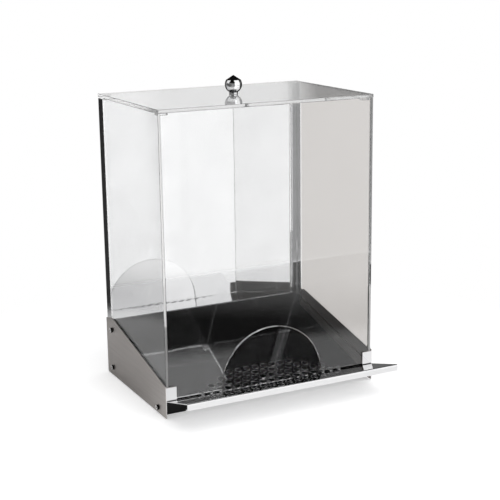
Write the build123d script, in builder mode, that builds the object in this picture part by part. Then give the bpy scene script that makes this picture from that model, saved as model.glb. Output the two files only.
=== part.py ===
"""Countertop bread display bin: folded stainless frame, clear lift-out hood with a
serving arch, lift-off lid with a turned knob, and a crumb drawer under the tray.

Millimetres. Origin on the counter under the middle of the bounding box,
X across, the serving side faces -Y, Z up.
"""

import os
from math import atan, cos, radians, sin, sqrt

from build123d import *

# ---------------------------------------------------------------- overall size
BODY_W = 352.0          # over the outer faces of the two side brackets
BODY_D = 240.0          # bracket front edges to the back panel's rear face
TRAY_REACH = 75.0       # how far the serving tray stands ahead of the brackets
LID_TOP = 451.0         # lid's upper face above the counter
FOOT_PROUD = 1.0        # rubber pads lift the brackets this far off the counter

FRONT = (TRAY_REACH - BODY_D) / 2       # the brackets' front edges
BACK = FRONT + BODY_D

# ---------------------------------------------------------------- clearances
REST_GAP = 0.3          # seats and slip fits between pieces that come apart
WELD_GAP = 0.2          # between welded sheets that don't touch

# ---------------------------------------------------------------- sheet metal
BRACKET_T = 1.5         # side brackets
SHEET_T = 1.0           # all other folded sheet
BEND_R = 2.0            # outside bend radius
INNER_X = BODY_W / 2 - BRACKET_T        # brackets' inner faces

# ---------------------------------------------------------------- side brackets
FRONT_OVER = 22.4       # brackets' front edge over the chute's upper face
PEAK_OVER = 16.6        # rounded shoulder behind the sloping edge, likewise
BACK_OVER = 4.4         # rear edge, likewise
SHOULDER_RUN = 27.0     # shoulder to rear edge
SHOULDER_R = 6.0
TAB_W = 17.5            # retaining tab folded in across the hood's front corner
TAB_OVER = 20.4         # tab's upper edge over the chute
TAB_LIFT = 0.9          # tab's lower edge over the fold of the chute

# ---------------------------------------------------------------- chute and tray
FOLD_Z = 27.6           # upper face at the valley fold between chute and tray
CHUTE_SLOPE = 0.25      # rise of the chute towards the back
TRAY_LIP_Z = 49.0       # top of the tray's front lip
LIP_H = 11.0
LIP_RETURN = 6.0        # safe edge folded back under the lip
WELD_FLANGE = 10.0      # side flanges of the chute, folded down
REAR_FLANGE = 12.0
HOLE_R = 4.9
HOLE_PITCH = 14.6
HOLE_ROW = 13.4         # between rows, up the slope
FIRST_ROW = 6.2         # fold to the first row
FRONT_ROW_HOLES = 17
FEWER_HOLES = 3         # in each row behind it, an odd number, so that the rows stagger
ROWS = 4

# ---------------------------------------------------------------- back panel
PANEL_DROP = 7.0        # top edge under the lid's upper face
FLANGE_W = 20.0         # side flanges above the chute
LOW_FLANGE_W = 35.0     # wider below it, where the screws hold

# ---------------------------------------------------------------- base plate
BASE_Z = 2.0            # underside
BASE_INSET = 22.0       # front edge behind the brackets' front edges
BASE_SIDE_H = 18.0
BASE_REAR_H = 15.0
CORNER_GAP = 2.0        # between its side flanges and the back panel's low ones

# ---------------------------------------------------------------- screws, nuts, feet
SCREW_R = 1.95
SCREW_HOLE_R = 2.15
SCREW_HEAD_R = 4.0
SCREW_HEAD_H = 3.1
SOCKET_AF = 2.5
SCREW_L = 6.2
NUT_AF = 7.0
NUT_T = 3.2
NUT_BORE_R = 2.0
FRONT_SCREW_IN = 31.0   # behind the brackets' front edges
FRONT_SCREW_UP = 7.2    # over the base plate's underside
REAR_SCREW_IN = 23.5    # ahead of the back panel's rear face
REAR_SCREW_UP = 12.2
TOP_SCREW_DOWN = 5.1    # from the chute's upper face to the top screw's axis
FOOT_R = 9.0
FOOT_IN_X = 26.0        # pads, in from the brackets' outer faces
FOOT_FRONT_IN = 23.0    # behind the base plate's front edge
FOOT_REAR_IN = 35.0     # ahead of the back panel's rear face

# ---------------------------------------------------------------- hood
ACRYLIC_T = 4.0
HOOD_X = INNER_X - REST_GAP             # outer faces of the hood's sides
HOOD_FRONT = FRONT + BRACKET_T + REST_GAP
HOOD_BACK = BACK - FLANGE_W - REST_GAP
ARCH_R = 84.5

# ---------------------------------------------------------------- lid and knob
LID_T = 5.0
LID_OVERHANG = 0.8
LID_CORNER_R = 2.0
LOCATOR = 12.0          # square locating blocks
LOCATOR_T = 4.0
LOCATOR_PLAY = 0.5
COLLAR_R = 6.7
COLLAR_H = 2.6
KNOB_H = 28.5           # top of the knob over the lid
KNOB_R = 13.1
KNOB_FOOT_R = 6.0
BALL_FOOT = 48          # degrees of the ball kept below its belly
BALL_CROWN = 32         # and above it, where the cone to the tip begins
BALL_STEP = 16
KNOB_SCREW_R = 2.45
KNOB_HOLE_R = 2.75
KNOB_THREAD_R = 2.5
KNOB_THREAD_L = 10.0    # screw's reach into the knob
SCREW_END_GAP = 1.0
WASHER_R = 6.0
WASHER_T = 1.0
KNOB_HEAD_R = 4.5
KNOB_HEAD_H = 2.8

# ---------------------------------------------------------------- crumb drawer
DRAWER_Z = 7.0          # underside of the pan
PAN_H = 15.0
PAN_SHORT = 40.0        # pan's rear wall ahead of the back panel's rear face
PAN_SIDE_PLAY = 5.0     # pan's side to the bracket, past the nuts
FASCIA_T = 3.0
FASCIA_TOP = 25.4
FASCIA_INSET = 1.0      # behind the brackets' front edges
SLOT_W = 60.0           # finger slot
SLOT_H = 8.0
SLOT_Z = 18.2
RIVET_R = 2.0
RIVET_HEAD_R = 3.4
RIVET_HEAD_H = 0.9
RUNNER_IN = 56.0        # runners and rivets, in from the brackets' outer faces
RUNNER_W = 14.0
STOP_W = 60.0
STOP_H = 12.0

# ---------------------------------------------------------------- derived places
BRACKET_Z = FOOT_PROUD
LID_Z = LID_TOP - LID_T
PANEL_TOP = LID_TOP - PANEL_DROP
HOOD_TOP = LID_Z - REST_GAP
BASE_TOP = BASE_Z + SHEET_T
RUNNER_TOP = DRAWER_Z - REST_GAP
TILT = atan(CHUTE_SLOPE)
SHEET_DROP = SHEET_T * sqrt(1 + CHUTE_SLOPE**2)     # sheet's thickness seen upright
PAN_Y = FRONT + FASCIA_INSET + FASCIA_T
PAN_X = INNER_X - PAN_SIDE_PLAY
PAN_BACK = BACK - PAN_SHORT
RUNNER_X = RIVET_X = BODY_W / 2 - RUNNER_IN
FOOT_X = BODY_W / 2 - FOOT_IN_X
LOW_NOSE = BACK - LOW_FLANGE_W          # front edges of the back panel's low flanges
BASE_FRONT = FRONT + BASE_INSET
BASE_SIDE_END = LOW_NOSE - CORNER_GAP
LID_FRONT = HOOD_FRONT - LID_OVERHANG
KNOB_Y = (LID_FRONT + BACK) / 2


def chute_z(y):
    """Height of the chute's upper face at depth y behind the fold."""
    return FOLD_Z + CHUTE_SLOPE * (y - FRONT)


def low_flange(y):
    """Top edge of the back panel's low side flanges, just under the chute."""
    return chute_z(y) - SHEET_DROP - WELD_GAP


REAR_SCREW_Y = BACK - REAR_SCREW_IN
SPOTS = [
    (FRONT + FRONT_SCREW_IN, BASE_Z + FRONT_SCREW_UP),
    (REAR_SCREW_Y, BASE_Z + REAR_SCREW_UP),
    (REAR_SCREW_Y, chute_z(REAR_SCREW_Y) - TOP_SCREW_DOWN),
]

os.makedirs("parts", exist_ok=True)

# ================================================================ fixed frame

# Side bracket: five-sided plate with the retaining tab folded in at its front edge.
with BuildPart() as left_bracket:
    with BuildSketch(Plane.YZ.offset(-BODY_W / 2)) as outline:
        with BuildLine():
            Polyline(
                (FRONT, BRACKET_Z),
                (BACK, BRACKET_Z),
                (BACK, chute_z(BACK) + BACK_OVER),
                (BACK - SHOULDER_RUN, chute_z(BACK - SHOULDER_RUN) + PEAK_OVER),
                (FRONT, chute_z(FRONT) + FRONT_OVER),
                close=True,
            )
        make_face()
        peak = outline.vertices().sort_by(Axis.Y)[-1]
        fillet(peak, SHOULDER_R)
        with Locations(*SPOTS):
            Circle(SCREW_HOLE_R, mode=Mode.SUBTRACT)
    extrude(amount=BRACKET_T)
    with BuildSketch(Plane.XY.offset(FOLD_Z + TAB_LIFT)):
        with Locations((-INNER_X, FRONT)):
            Rectangle(TAB_W - BRACKET_T, BRACKET_T, align=(Align.MIN, Align.MIN))
    extrude(amount=TAB_OVER - TAB_LIFT)
    bend = left_bracket.edges().filter_by(Axis.Z).group_by(Axis.Y)[0].sort_by(Axis.X)[0]
    fillet(bend, BRACKET_T * 0.8)

with BuildPart() as right_bracket:
    add(mirror(left_bracket.part, about=Plane.YZ))

# Back panel: a tall channel. Its side flanges widen under the chute for the screws.
with BuildPart() as back_panel:
    with BuildSketch(Plane.XY.offset(BASE_Z)) as channel:
        with Locations((0, BACK)):
            Rectangle(2 * INNER_X, LOW_FLANGE_W, align=(Align.CENTER, Align.MAX))
        fillet(channel.vertices().group_by(Axis.Y)[-1], BEND_R)
        with BuildSketch(mode=Mode.SUBTRACT) as hollow:
            with Locations((0, BACK - SHEET_T)):
                Rectangle(
                    2 * (INNER_X - SHEET_T), LOW_FLANGE_W, align=(Align.CENTER, Align.MAX)
                )
            fillet(hollow.vertices().group_by(Axis.Y)[-1], BEND_R - SHEET_T)
    extrude(amount=PANEL_TOP - BASE_Z)
    step, nose = BACK - FLANGE_W, LOW_NOSE - SHEET_T
    with BuildSketch(Plane.YZ):
        with BuildLine():
            Polyline(
                (nose, low_flange(nose)),
                (step, low_flange(step)),
                (step, LID_TOP),
                (nose, LID_TOP),
                close=True,
            )
        make_face()
    extrude(amount=BODY_W / 2, both=True, mode=Mode.SUBTRACT)
    with BuildSketch(Plane.YZ):
        with Locations(*SPOTS[1:]):
            Circle(SCREW_HOLE_R)
    extrude(amount=BODY_W / 2, both=True, mode=Mode.SUBTRACT)

# Base plate: side flanges for the front screws, a rear flange against the back panel.
with BuildPart() as base_plate:
    with BuildSketch(Plane.XZ.offset(-BASE_FRONT)) as trough:
        with Locations((0, BASE_Z)):
            Rectangle(2 * INNER_X, BASE_SIDE_H, align=(Align.CENTER, Align.MIN))
        fillet(trough.vertices().group_by(Axis.Y)[0], BEND_R)
        with BuildSketch(mode=Mode.SUBTRACT) as hollow:
            with Locations((0, BASE_TOP)):
                Rectangle(
                    2 * (INNER_X - SHEET_T), BASE_SIDE_H, align=(Align.CENTER, Align.MIN)
                )
            fillet(hollow.vertices().group_by(Axis.Y)[0], BEND_R - SHEET_T)
    extrude(amount=-(BASE_SIDE_END - BASE_FRONT))
    with BuildSketch(Plane.YZ):
        with BuildLine():
            FilletPolyline(
                (BASE_SIDE_END - SHEET_T, BASE_Z),
                (BACK - SHEET_T, BASE_Z),
                (BACK - SHEET_T, BASE_Z + BASE_REAR_H),
                radius=BEND_R,
            )
            offset(amount=SHEET_T, side=Side.LEFT)
        make_face()
    extrude(amount=INNER_X - BEND_R, both=True)
    with BuildSketch(Plane.YZ):
        with Locations(SPOTS[0]):
            Circle(SCREW_HOLE_R)
    extrude(amount=BODY_W / 2, both=True, mode=Mode.SUBTRACT)

# Chute and serving tray: one folded sheet. It falls from the back panel to the valley
# fold, climbs as the tray and turns down into a lip with a safe edge.
with BuildPart() as chute_tray:
    with BuildSketch(Plane.YZ):
        with BuildLine():
            FilletPolyline(
                (BACK - SHEET_T, chute_z(BACK - SHEET_T) - REAR_FLANGE),
                (BACK - SHEET_T, chute_z(BACK - SHEET_T)),
                (FRONT, FOLD_Z),
                (FRONT - TRAY_REACH, TRAY_LIP_Z),
                (FRONT - TRAY_REACH, TRAY_LIP_Z - LIP_H),
                (FRONT - TRAY_REACH + LIP_RETURN, TRAY_LIP_Z - LIP_H),
                radius=BEND_R,
            )
            offset(amount=SHEET_T, side=Side.LEFT)
        make_face()
    extrude(amount=INNER_X, both=True)
    with Locations((INNER_X, BACK, 0), (-INNER_X, BACK, 0)):
        Box(2 * BEND_R, 2 * (FLANGE_W + WELD_GAP), 2 * LID_TOP, mode=Mode.SUBTRACT)
    near, far = FRONT + 3 * BEND_R, LOW_NOSE - WELD_GAP
    for side in (INNER_X - SHEET_T, -INNER_X):
        with BuildSketch(Plane.YZ.offset(side)):
            with BuildLine():
                Polyline(
                    (near, chute_z(near) - SHEET_T / 2),
                    (far, chute_z(far) - SHEET_T / 2),
                    (far, chute_z(far) - WELD_FLANGE),
                    (near, chute_z(near) - WELD_FLANGE),
                    close=True,
                )
            make_face()
        extrude(amount=SHEET_T)
    chute_plane = Plane((0, FRONT, FOLD_Z), x_dir=(1, 0, 0), z_dir=(0, -sin(TILT), cos(TILT)))
    with BuildSketch(chute_plane):
        for row in range(ROWS):
            with Locations((0, FIRST_ROW + row * HOLE_ROW)):
                with GridLocations(HOLE_PITCH, HOLE_ROW, FRONT_ROW_HOLES - row * FEWER_HOLES, 1):
                    Circle(HOLE_R)
    extrude(amount=2 * SHEET_T, both=True, mode=Mode.SUBTRACT)

# Six socket screws hold the brackets, each with its own nut on the inside.
with BuildPart() as screw:
    Cylinder(SCREW_R, SCREW_L, align=(Align.CENTER, Align.CENTER, Align.MAX))
    Cylinder(SCREW_HEAD_R, SCREW_HEAD_H, align=(Align.CENTER, Align.CENTER, Align.MIN))
    chamfer(screw.edges().sort_by(Axis.Z)[-1], SCREW_HEAD_H / 4)
    with BuildSketch(Plane.XY.offset(SCREW_HEAD_H)):
        RegularPolygon(SOCKET_AF / 2, 6, major_radius=False)
    extrude(amount=-SCREW_HEAD_H * 0.6, mode=Mode.SUBTRACT)

with BuildPart() as nut:
    with BuildSketch() as hexagon:
        RegularPolygon(NUT_AF / 2, 6, major_radius=False, rotation=30)
        Circle(NUT_BORE_R, mode=Mode.SUBTRACT)
    extrude(amount=-NUT_T)


def at_spots(depths):
    """Outward-facing places at the six screw spots, at a distance out from the middle."""
    return [
        Plane((side * x, y, z), x_dir=(0, side, 0), z_dir=(side, 0, 0)).location
        for side in (-1, 1)
        for (y, z), x in zip(SPOTS, depths)
    ]


with BuildPart() as bracket_screws:
    with Locations(*at_spots([BODY_W / 2] * len(SPOTS))):
        add(screw.part)

with BuildPart() as bracket_nuts:
    with Locations(*at_spots([INNER_X - SHEET_T] * len(SPOTS))):
        add(nut.part)

# Rubber pads under the base plate.
with BuildPart() as feet:
    rows = (BASE_FRONT + FOOT_FRONT_IN, BACK - FOOT_REAR_IN)
    with Locations(*[(x, y, 0) for x in (-FOOT_X, FOOT_X) for y in rows]):
        Cylinder(FOOT_R, BASE_Z, align=(Align.CENTER, Align.CENTER, Align.MIN))

# Runners the drawer slides on: folded strips spot-welded to the base plate.
with BuildPart() as left_runner:
    with BuildSketch(Plane.XZ.offset(-(BASE_FRONT + SHEET_T))) as hat:
        with Locations((-RUNNER_X, BASE_TOP)):
            Rectangle(RUNNER_W, RUNNER_TOP - BASE_TOP, align=(Align.CENTER, Align.MIN))
            Rectangle(
                RUNNER_W - 2 * SHEET_T,
                RUNNER_TOP - BASE_TOP - SHEET_T,
                align=(Align.CENTER, Align.MIN),
                mode=Mode.SUBTRACT,
            )
        fillet(hat.vertices().group_by(Axis.Y)[-1], SHEET_T)
    extrude(amount=-(PAN_BACK - BASE_FRONT - 2 * SHEET_T))

with BuildPart() as right_runner:
    add(mirror(left_runner.part, about=Plane.YZ))

# Angle that stops the drawer's pan when its front is home.
with BuildPart() as drawer_stop:
    with BuildSketch(Plane.YZ):
        with BuildLine():
            FilletPolyline(
                (PAN_BACK + REST_GAP, BASE_TOP + STOP_H),
                (PAN_BACK + REST_GAP, BASE_TOP),
                (PAN_BACK + REST_GAP + STOP_H, BASE_TOP),
                radius=BEND_R,
            )
            offset(amount=SHEET_T, side=Side.LEFT)
        make_face()
    extrude(amount=STOP_W / 2, both=True)

# ================================================================ crumb drawer

# Pan: shallow folded box, its front wall let down behind the finger slot.
with BuildPart() as drawer_pan:
    with Locations((0, PAN_Y, DRAWER_Z)):
        Box(2 * PAN_X, PAN_BACK - PAN_Y, PAN_H, align=(Align.CENTER, Align.MIN, Align.MIN))
    fillet(drawer_pan.edges().group_by(Axis.Z)[0], BEND_R)
    offset(
        amount=-SHEET_T, openings=drawer_pan.faces().sort_by(Axis.Z)[-1], mode=Mode.REPLACE
    )
    with Locations((0, PAN_Y, SLOT_Z - SLOT_H / 2 - WELD_GAP)):
        Box(
            SLOT_W + SLOT_H, 4 * SHEET_T, PAN_H,
            align=(Align.CENTER, Align.CENTER, Align.MIN), mode=Mode.SUBTRACT,
        )
    with BuildSketch(Plane.XZ.offset(-PAN_Y)):
        with Locations((-RIVET_X, SLOT_Z), (RIVET_X, SLOT_Z)):
            Circle(RIVET_R)
    extrude(amount=-2 * SHEET_T, mode=Mode.SUBTRACT)

# Fascia: moulded strip that fills the gap between the brackets.
with BuildPart() as drawer_fascia:
    with BuildSketch(Plane.XZ.offset(-PAN_Y)):
        with Locations((0, DRAWER_Z)):
            Rectangle(
                2 * (INNER_X - REST_GAP), FASCIA_TOP - DRAWER_Z, align=(Align.CENTER, Align.MIN)
            )
        with Locations((0, SLOT_Z)):
            SlotOverall(SLOT_W, SLOT_H, mode=Mode.SUBTRACT)
        with Locations((-RIVET_X, SLOT_Z), (RIVET_X, SLOT_Z)):
            Circle(RIVET_R, mode=Mode.SUBTRACT)
    extrude(amount=FASCIA_T)
    chamfer(drawer_fascia.faces().sort_by(Axis.Y)[0].outer_wire().edges(), 0.6)

# Two rivets join fascia and pan; their heads close down on both faces.
with BuildPart() as fascia_rivets:
    with Locations(
        *[
            Location((side * RIVET_X, PAN_Y - FASCIA_T, SLOT_Z), (90, 0, 0))
            for side in (-1, 1)
        ]
    ):
        Cylinder(
            RIVET_R, FASCIA_T + SHEET_T, align=(Align.CENTER, Align.CENTER, Align.MAX)
        )
        Cylinder(RIVET_HEAD_R, RIVET_HEAD_H, align=(Align.CENTER, Align.CENTER, Align.MIN))
    with Locations(
        *[
            Location((side * RIVET_X, PAN_Y + SHEET_T, SLOT_Z), (90, 0, 0))
            for side in (-1, 1)
        ]
    ):
        Cylinder(RIVET_HEAD_R, RIVET_HEAD_H, align=(Align.CENTER, Align.CENTER, Align.MAX))

# ================================================================ clear hood

# Front: fits between the sides, with the half-round serving arch at its foot.
FRONT_FOOT = chute_z(HOOD_FRONT + ACRYLIC_T) + REST_GAP
with BuildPart() as hood_front:
    with BuildSketch(Plane.XZ.offset(-HOOD_FRONT)):
        with Locations((0, FRONT_FOOT)):
            Rectangle(
                2 * (HOOD_X - ACRYLIC_T), HOOD_TOP - FRONT_FOOT, align=(Align.CENTER, Align.MIN)
            )
            Circle(ARCH_R, mode=Mode.SUBTRACT)
    extrude(amount=-ACRYLIC_T)

# Sides: their lower edges follow the chute they stand on.
with BuildPart() as hood_left:
    with BuildSketch(Plane.YZ.offset(-HOOD_X)):
        with BuildLine():
            Polyline(
                (HOOD_FRONT, chute_z(HOOD_FRONT) + REST_GAP),
                (HOOD_BACK, chute_z(HOOD_BACK) + REST_GAP),
                (HOOD_BACK, HOOD_TOP),
                (HOOD_FRONT, HOOD_TOP),
                close=True,
            )
        make_face()
    extrude(amount=ACRYLIC_T)

with BuildPart() as hood_right:
    add(mirror(hood_left.part, about=Plane.YZ))

# ================================================================ lid and knob

with BuildPart() as lid_plate:
    with BuildSketch(Plane.XY.offset(LID_Z)) as sheet:
        with Locations((0, LID_FRONT)):
            Rectangle(
                2 * (HOOD_X + LID_OVERHANG), BACK - LID_FRONT, align=(Align.CENTER, Align.MIN)
            )
        fillet(sheet.vertices(), LID_CORNER_R)
        with Locations((0, KNOB_Y)):
            Circle(KNOB_HOLE_R, mode=Mode.SUBTRACT)
    extrude(amount=LID_T)
    rim = lid_plate.faces().sort_by(Axis.Z)[-1].outer_wire().edges()
    chamfer(rim, 0.4)

# Four blocks glued under the lid drop inside the hood and keep the lid in place.
BLOCK_X = HOOD_X - ACRYLIC_T - LOCATOR_PLAY - LOCATOR / 2
BLOCK_FRONT = HOOD_FRONT + ACRYLIC_T + LOCATOR_PLAY + LOCATOR / 2
BLOCK_BACK = BACK - SHEET_T - 2 * LOCATOR_PLAY - LOCATOR / 2
with BuildPart() as lid_locators:
    with Locations(
        *[(x, y, LID_Z) for x in (-BLOCK_X, BLOCK_X) for y in (BLOCK_FRONT, BLOCK_BACK)]
    ):
        Box(LOCATOR, LOCATOR, LOCATOR_T, align=(Align.CENTER, Align.CENTER, Align.MAX))

with BuildPart() as knob_collar:
    with BuildSketch(Plane.XY.offset(LID_TOP)):
        with Locations((0, KNOB_Y)):
            Circle(COLLAR_R)
            Circle(KNOB_HOLE_R, mode=Mode.SUBTRACT)
    extrude(amount=COLLAR_H)

# Turned knob: a ball drawn up to a slight point, bored from below for its screw.
with BuildPart() as knob:
    with BuildSketch(Plane.XZ.offset(-KNOB_Y)):
        with BuildLine():
            foot = LID_TOP + COLLAR_H
            belly = LID_TOP + KNOB_H / 2
            turns = [radians(a) for a in range(-BALL_FOOT, BALL_CROWN + 1, BALL_STEP)]
            ball = [(KNOB_R * cos(a), belly + KNOB_R * sin(a)) for a in turns]
            Polyline((0, foot), (KNOB_FOOT_R, foot), *ball, (0, LID_TOP + KNOB_H), close=True)
        make_face()
    revolve(axis=Axis((0, KNOB_Y, 0), (0, 0, 1)))
    with BuildSketch(Plane.XY.offset(foot)):
        with Locations((0, KNOB_Y)):
            Circle(KNOB_THREAD_R)
    extrude(amount=KNOB_THREAD_L + SCREW_END_GAP, mode=Mode.SUBTRACT)

with BuildPart() as knob_washer:
    with BuildSketch(Plane.XY.offset(LID_Z)):
        with Locations((0, KNOB_Y)):
            Circle(WASHER_R)
            Circle(KNOB_HOLE_R, mode=Mode.SUBTRACT)
    extrude(amount=-WASHER_T)

with BuildPart() as knob_screw:
    with Locations((0, KNOB_Y, LID_Z - WASHER_T)):
        Cylinder(
            KNOB_SCREW_R,
            WASHER_T + LID_T + COLLAR_H + KNOB_THREAD_L,
            align=(Align.CENTER, Align.CENTER, Align.MIN),
        )
        Cylinder(KNOB_HEAD_R, KNOB_HEAD_H, align=(Align.CENTER, Align.CENTER, Align.MAX))
    chamfer(knob_screw.edges().sort_by(Axis.Z)[0], KNOB_HEAD_H / 4)

# ================================================================ files

pieces = {
    "left_bracket": left_bracket, "right_bracket": right_bracket, "back_panel": back_panel,
    "base_plate": base_plate, "chute_tray": chute_tray, "bracket_screws": bracket_screws,
    "bracket_nuts": bracket_nuts, "feet": feet, "left_runner": left_runner,
    "right_runner": right_runner, "drawer_stop": drawer_stop, "drawer_pan": drawer_pan,
    "drawer_fascia": drawer_fascia, "fascia_rivets": fascia_rivets,
    "hood_front": hood_front, "hood_left": hood_left, "hood_right": hood_right,
    "lid_plate": lid_plate, "lid_locators": lid_locators, "knob": knob,
    "knob_collar": knob_collar, "knob_washer": knob_washer, "knob_screw": knob_screw,
}
for name, piece in pieces.items():
    piece.part.label = name
    export_step(piece.part, f"parts/{name}.step")
    print(name, [round(v, 1) for v in piece.part.bounding_box().size])
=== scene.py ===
# %% [markdown]
# # A countertop bread display bin
#
# The bin is a folded stainless frame with a mirror-bright back wall and chute, a clear acrylic
# hood with a serving arch, a lift-off lid with a turned knob, and a black-fronted crumb drawer
# under the tray. The construction model already holds every piece at its real size, in metres,
# so this script never moves or resizes anything: it loads that frame and gives each piece its
# finish, its polished edges and its small details.

# %% Load the frame
import bmesh
import bpy
from math import cos, pi, radians, sin, sqrt, tan
from mathutils import Matrix, Vector


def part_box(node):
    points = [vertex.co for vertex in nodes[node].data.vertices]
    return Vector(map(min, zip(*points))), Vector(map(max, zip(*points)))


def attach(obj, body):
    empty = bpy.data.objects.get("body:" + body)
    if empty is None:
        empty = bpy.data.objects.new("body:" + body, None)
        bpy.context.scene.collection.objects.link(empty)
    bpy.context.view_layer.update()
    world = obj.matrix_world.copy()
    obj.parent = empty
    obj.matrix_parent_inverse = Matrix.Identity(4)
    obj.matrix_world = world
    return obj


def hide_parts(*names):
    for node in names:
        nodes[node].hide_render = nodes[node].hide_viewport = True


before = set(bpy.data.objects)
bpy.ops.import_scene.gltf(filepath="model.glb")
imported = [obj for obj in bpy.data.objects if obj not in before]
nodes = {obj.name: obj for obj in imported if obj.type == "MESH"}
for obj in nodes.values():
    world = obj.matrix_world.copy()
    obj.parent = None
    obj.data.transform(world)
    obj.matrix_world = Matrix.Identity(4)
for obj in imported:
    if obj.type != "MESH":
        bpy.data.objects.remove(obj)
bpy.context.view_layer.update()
MM = 0.001

# %% [markdown]
# ## The camera
#
# A long lens, some way off and a little above the lid, looks at the bin's left front corner.
# Straight edges then stay nearly parallel, as they do in a catalogue. The camera could be aimed
# with a Track To constraint, but a direction worked out from azimuth, elevation and roll keeps
# the three angles readable. The columns of its matrix are its own right, up and backward axes.

# %% Set the camera
LENS_MM = 86.5
AZIMUTH = radians(-26.707)      # to the left of the bin's front
ELEVATION = radians(13.807)     # above the counter
ROLL = radians(-0.756)
CAMERA_PLACE = Vector((-0.8008, -1.6021, 0.6553))


def camera_turn(azimuth, elevation, roll):
    """Rotation of a camera that looks at the bin from an azimuth and an elevation."""
    right = Vector((cos(azimuth), sin(azimuth), 0))
    back = Vector((sin(azimuth) * cos(elevation), -cos(azimuth) * cos(elevation), sin(elevation)))
    up = back.cross(right)
    rolled_right = cos(roll) * right + sin(roll) * up
    rolled_up = -sin(roll) * right + cos(roll) * up
    return Matrix((rolled_right, rolled_up, back)).transposed().to_4x4()


def new_object(name, data):
    """An object of its own in the scene."""
    made = bpy.data.objects.new(name, data)
    bpy.context.scene.collection.objects.link(made)
    return made


camera_data = bpy.data.cameras.new("catalogue_camera")
camera_data.lens = LENS_MM
camera_data.sensor_width = 36.0
camera_data.clip_end = 50.0
camera = new_object("catalogue_camera", camera_data)
camera.matrix_world = Matrix.Translation(CAMERA_PLACE) @ camera_turn(AZIMUTH, ELEVATION, ROLL)
bpy.context.scene.camera = camera
bpy.context.scene.view_settings.view_transform = "Standard"
print("camera", round(CAMERA_PLACE.length, 2), "m from the bin's foot")

# %% [markdown]
# ## Small helpers for shader nodes
#
# Node trees built in code soon get long, so a few helpers keep them short. One adds a node and
# fills its inputs: a value that is another node's output becomes a link, and anything else
# becomes the input's own value. The others make what every finish needs: a noise, two shades or
# two roughnesses that follow it, and a relief.

# %% Node helpers
NOISE_SPAN = 0.3, 0.7           # most of a noise lies between these


def plug(tree, value, socket):
    """Links a value that is a socket, and sets the socket's own value to any other."""
    if isinstance(value, bpy.types.NodeSocket):
        tree.links.new(value, socket)
    else:
        socket.default_value = value


def add(tree, kind, settings=None, *values, **sockets):
    """Adds a node. settings are its options, values fill its inputs in order, and sockets
    fill them by name, with _ for a space."""
    made = tree.nodes.new(kind)
    for name, value in (settings or {}).items():
        setattr(made, name, value)
    for value, socket in zip(values, made.inputs):
        plug(tree, value, socket)
    for name, value in sockets.items():
        label = name.replace("_", " ")
        plug(tree, value, next(s for s in made.inputs if s.enabled and s.name == label))
    return made


def new_finish(name):
    """An empty material and its tree."""
    material = bpy.data.materials.new(name)
    material.use_nodes = True
    material.node_tree.nodes.clear()
    return material, material.node_tree


def show(tree, shader):
    """Sends a shader to the material's surface."""
    add(tree, "ShaderNodeOutputMaterial", Surface=shader.outputs[0])


def coated(material, **sockets):
    """The finish, ended by one Principled shader."""
    show(material.node_tree, add(material.node_tree, "ShaderNodeBsdfPrincipled", **sockets))
    return material


def cloud(tree, scale, detail=2.0, stretch=(1, 1, 1)):
    """Soft noise in the piece's own metres, drawn out along an axis by a small stretch."""
    place = add(tree, "ShaderNodeTexCoord").outputs["Object"]
    turned = add(tree, "ShaderNodeMapping", Vector=place, Scale=stretch).outputs["Vector"]
    return add(tree, "ShaderNodeTexNoise", Vector=turned, Scale=scale, Detail=detail).outputs["Fac"]


def shades(tree, factor, dark, light):
    """Two shades of one colour, mixed by a noise."""
    ramp = add(tree, "ShaderNodeValToRGB", Fac=factor)
    for stop, place, tone in zip(ramp.color_ramp.elements, NOISE_SPAN, (dark, light)):
        stop.position, stop.color = place, (*tone, 1)
    return ramp.outputs["Color"]


def slide(tree, value, start, end, low=0.0, high=1.0, kind="LINEAR"):
    """Goes from low to high while a value goes from start to end, and stays there."""
    return add(
        tree, "ShaderNodeMapRange", {"interpolation_type": kind}, Value=value,
        From_Min=start, From_Max=end, To_Min=low, To_Max=high,
    ).outputs["Result"]


def between(tree, factor, low, high):
    """A number that follows a noise from low to high."""
    return slide(tree, factor, *NOISE_SPAN, low, high)


def relief(tree, height, depth):
    """Bump of a real depth in metres."""
    return add(tree, "ShaderNodeBump", Height=height, Distance=depth).outputs["Normal"]


def calculate(tree, operation, first, second):
    """One Math node on two numbers or sockets."""
    return add(tree, "ShaderNodeMath", {"operation": operation}, first, second).outputs[0]


# %% [markdown]
# ## The studio
#
# Mirror steel has no colour of its own: it shows the room, so the room matters most here. In a
# studio the bin stands on a white table, with white cards round it under a dark ceiling. The
# cards and the table make the back wall, the tabs and the tray's lip white, and the ceiling
# makes the chute black. The world plays this room for reflected rays only. Straight rays see
# plain white, and rays through the acrylic see it a little greyed and warm.
#
# A flag, a board hung between a card and the bin, keeps the card out of some reflections. The
# light path does the same in code:
# - "all": every reflection sees the card;
# - "clear": only those that leave the acrylic last see it, as in the lid's edge;
# - "bare": only those that don't, as in the tabs outside the hood;
# - "hood": only those that crossed three faces of acrylic or more. Such a card whitens the
#   wall inside the hood and lays no veil on the front panel.
#
# Real cards in the scene would work too, but each would have to be hidden from half of the
# pieces.

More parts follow.
